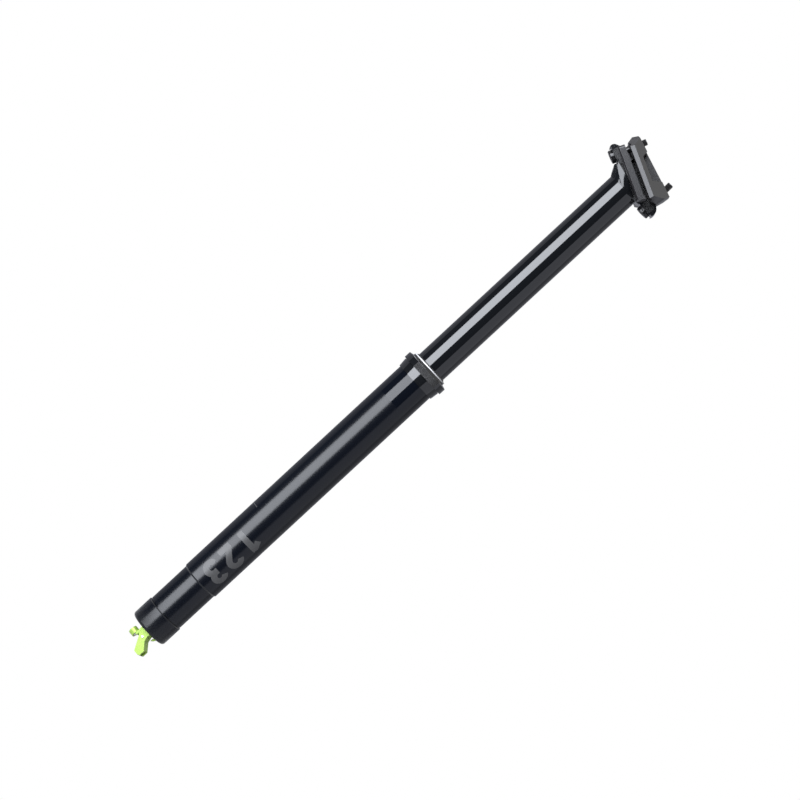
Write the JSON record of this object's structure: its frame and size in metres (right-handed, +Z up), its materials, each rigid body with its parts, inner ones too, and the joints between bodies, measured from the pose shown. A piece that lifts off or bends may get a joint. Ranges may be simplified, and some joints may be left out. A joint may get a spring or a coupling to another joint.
{
  "type": "dropper seatpost",
  "caption": "Telescoping bicycle seatpost with a cable-operated release lever at its foot, a knurled seal collar and a two-bolt clamp for saddle rails.",
  "frame": {"origin": "on the post's axis, where the collar meets the outer tube and the insertable length ends", "axes": "+Z up the post, +X forward, +Y to the left"},
  "size_m": [0.058, 0.053, 0.524],
  "materials": {
    "satin_black": "satin anodised",
    "gloss_black": "gloss anodised",
    "clamp_black": "satin anodised forging",
    "plain_aluminium": "machined",
    "green_anodised": "anodised",
    "bright_metal": "polished",
    "black_steel": "black oxide",
    "key_brass": "milled",
    "seal_rubber": "matte",
    "bushing_plastic": "matte"
  },
  "bodies": {
    "outer": {"outer_tube": "satin_black", "bottom_cap": "satin_black", "collar": "gloss_black", "collar_o_ring": "seal_rubber", "wiper_seal": "seal_rubber", "wiper_ring": "bright_metal", "upper_bushing": "bushing_plastic", "cartridge_shaft": "bright_metal", "cartridge_piston": "plain_aluminium", "piston_seal": "seal_rubber", "bottom_bumper": "seal_rubber", "actuator_housing": "green_anodised", "lever_pivot_pin": "bright_metal", "cable_ferrule": "bright_metal"},
    "inner_post": {"stanchion": "gloss_black", "seatpost_head": "gloss_black", "lower_bushing": "bushing_plastic", "guide_keys": "key_brass", "cartridge_outer_tube": "plain_aluminium", "cartridge_inner_tube": "plain_aluminium", "cartridge_seal_head": "plain_aluminium", "cartridge_top_cap": "plain_aluminium", "retaining_clip": "black_steel"},
    "saddle_clamp": {"rail_cradle": "clamp_black", "top_clamp": "clamp_black"},
    "front_bolt": {"clamp_bolt_front": "black_steel", "bolt_washer_front": "black_steel"},
    "rear_bolt": {"clamp_bolt_rear": "black_steel", "bolt_washer_rear": "black_steel"},
    "front_nut": {"barrel_nut_front": "black_steel"},
    "rear_nut": {"barrel_nut_rear": "black_steel"},
    "floating_piston": {"floating_piston": "plain_aluminium"},
    "lever": {"actuator_lever": "green_anodised"},
    "valve_pin": {"valve_pin": "bright_metal", "valve_spring": "black_steel"}
  },
  "joints": [
    {"name": "drop", "type": "slide", "parent": "outer", "child": "inner_post", "axis": [0, 0, 1], "range_m": [-0.18, 0], "stiffness_N_per_m": 500, "springref_m": 0.5},
    {"name": "saddle_tilt", "type": "hinge", "parent": "inner_post", "child": "saddle_clamp", "pos_m": [0.0032, 0, 0.2265], "axis": [0, 1, 0], "range_deg": [-8, 1]},
    {"name": "front_bolt_swing", "type": "hinge", "parent": "inner_post", "child": "front_bolt", "pos_m": [0.0218, 0, 0.2092], "axis": [0, 1, 0], "range_deg": [-0.25, 1.7]},
    {"name": "rear_bolt_swing", "type": "hinge", "parent": "inner_post", "child": "rear_bolt", "pos_m": [-0.0212, 0, 0.2201], "axis": [0, 1, 0], "range_deg": [-0.1, 0.3]},
    {"name": "front_nut_turn", "type": "hinge", "parent": "saddle_clamp", "child": "front_nut", "pos_m": [0.0213, 0, 0.223], "axis": [0, 1, 0], "range_deg": [-1.3, 9.7]},
    {"name": "rear_nut_turn", "type": "hinge", "parent": "saddle_clamp", "child": "rear_nut", "pos_m": [-0.0162, 0, 0.2342], "axis": [0, 1, 0], "range_deg": [-1.1, 8.35]},
    {"name": "gas_piston", "type": "slide", "parent": "inner_post", "child": "floating_piston", "axis": [0, 0, 1], "range_m": [-0.1356, 0]},
    {"name": "lever", "type": "hinge", "parent": "outer", "child": "lever", "pos_m": [0.00249, -0.00076, -0.2706], "axis": [0.2924, 0.9563, 0], "range_deg": [0, 22]},
    {"name": "valve_pin_slide", "type": "slide", "parent": "outer", "child": "valve_pin", "axis": [0, 0, 1], "range_m": [0, 0.00076], "stiffness_N_per_m": 1500, "springref_m": -0.008, "deforming": ["valve_spring"]}
  ],
  "couplings": [
    {"joint": "front_bolt_swing", "follows": "saddle_tilt", "ratio": -0.2},
    {"joint": "rear_bolt_swing", "follows": "saddle_tilt", "ratio": -0.031},
    {"joint": "front_nut_turn", "follows": "saddle_tilt", "ratio": -1.2},
    {"joint": "rear_nut_turn", "follows": "saddle_tilt", "ratio": -1.031},
    {"joint": "gas_piston", "follows": "drop", "ratio": 0.752},
    {"joint": "lever", "follows": "valve_pin_slide", "rad_per_m": 503.3}
  ]
}
